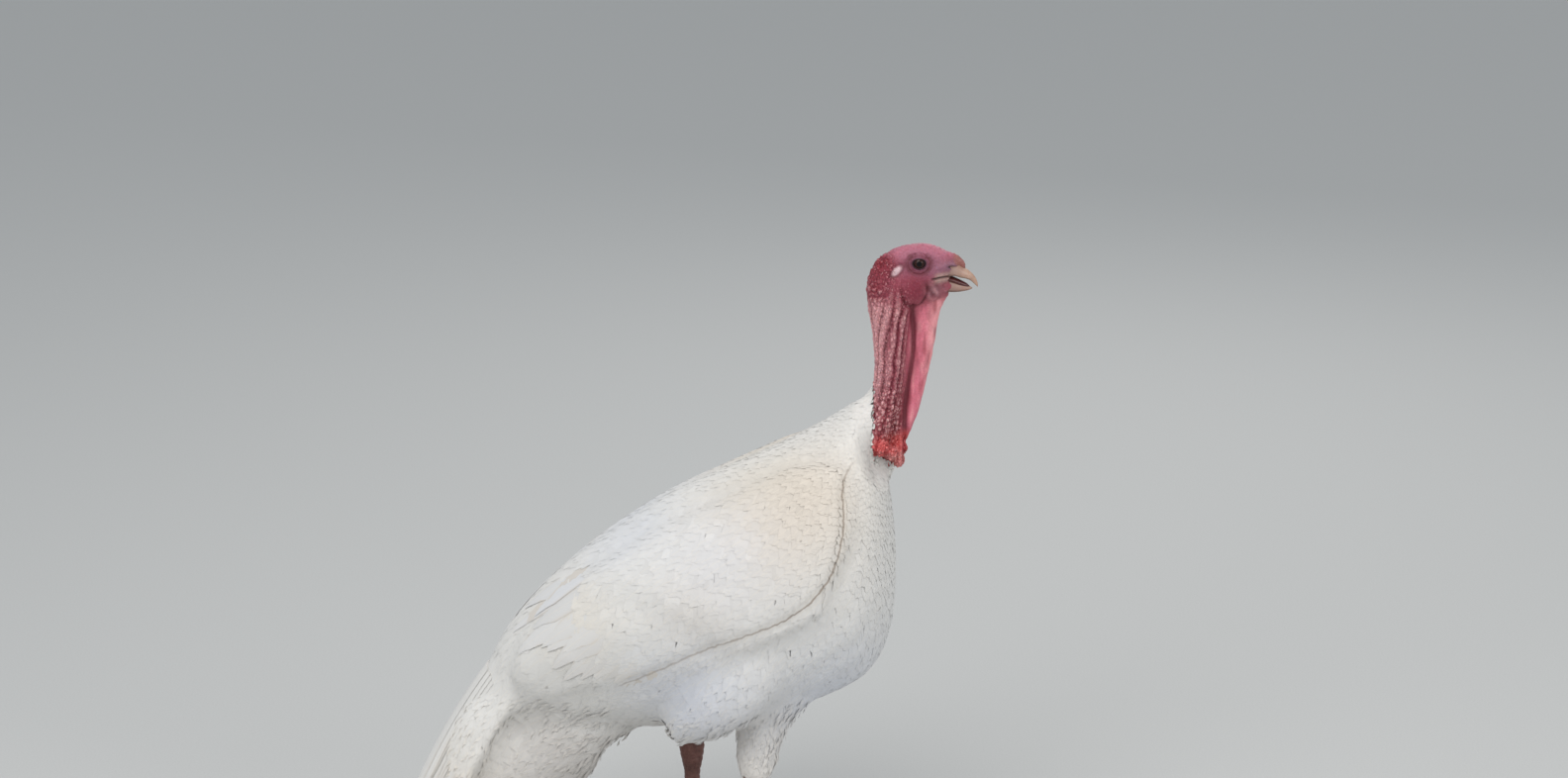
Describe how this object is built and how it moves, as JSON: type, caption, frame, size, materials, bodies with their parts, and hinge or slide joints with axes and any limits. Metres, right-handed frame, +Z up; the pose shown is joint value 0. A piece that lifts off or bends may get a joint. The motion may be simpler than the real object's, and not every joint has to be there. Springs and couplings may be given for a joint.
{
  "type": "domestic turkey",
  "caption": "White domestic turkey standing still, wings folded and tail lowered, with a bare red head and neck.",
  "frame": {"origin": "on the floor, at the middle of the bird's length and width", "axes": "+X the way the bird faces, +Y to its left, +Z up"},
  "size_m": [0.6326, 0.2946, 0.7362],
  "materials": {
    "bare_skin": "bare wrinkled pinkish red skin, bluish round the eye",
    "bill_horn": "pale pinkish horn",
    "body_feather": "white feathers",
    "caruncle": "orange-red swollen wattle skin",
    "claw": "greyish horn",
    "eye": "dark brown glossy eyeball",
    "shank_skin": "scaled greyish pink skin",
    "snood": "wrinkled brownish pink skin",
    "tail_feather": "white feathers, slightly stained",
    "wing_feather": "white feathers, slightly stained"
  },
  "bodies": {
    "root": {"bill_lower": "bill_horn", "bill_upper": "bill_horn", "caruncle_front": "caruncle", "caruncle_left": "caruncle", "caruncle_right": "caruncle", "claw_left_hind": "claw", "claw_left_inner": "claw", "claw_left_middle": "claw", "claw_left_outer": "claw", "claw_right_hind": "claw", "claw_right_inner": "claw", "claw_right_middle": "claw", "claw_right_outer": "claw", "drumstick_left": "body_feather", "drumstick_right": "body_feather", "eye_left": "eye", "eye_right": "eye", "flank_left": "body_feather", "flank_right": "body_feather", "foot_left": "shank_skin", "foot_right": "shank_skin", "head": "bare_skin", "neck": "bare_skin", "shank_left": "shank_skin", "shank_right": "shank_skin", "snood": "snood", "tail": "tail_feather", "trunk": "body_feather", "vent": "body_feather", "wing_coverts_left": "wing_feather", "wing_coverts_right": "wing_feather", "wing_primaries_left": "wing_feather", "wing_primaries_right": "wing_feather", "wing_secondaries_left": "wing_feather", "wing_secondaries_right": "wing_feather"}
  },
  "joints": []
}
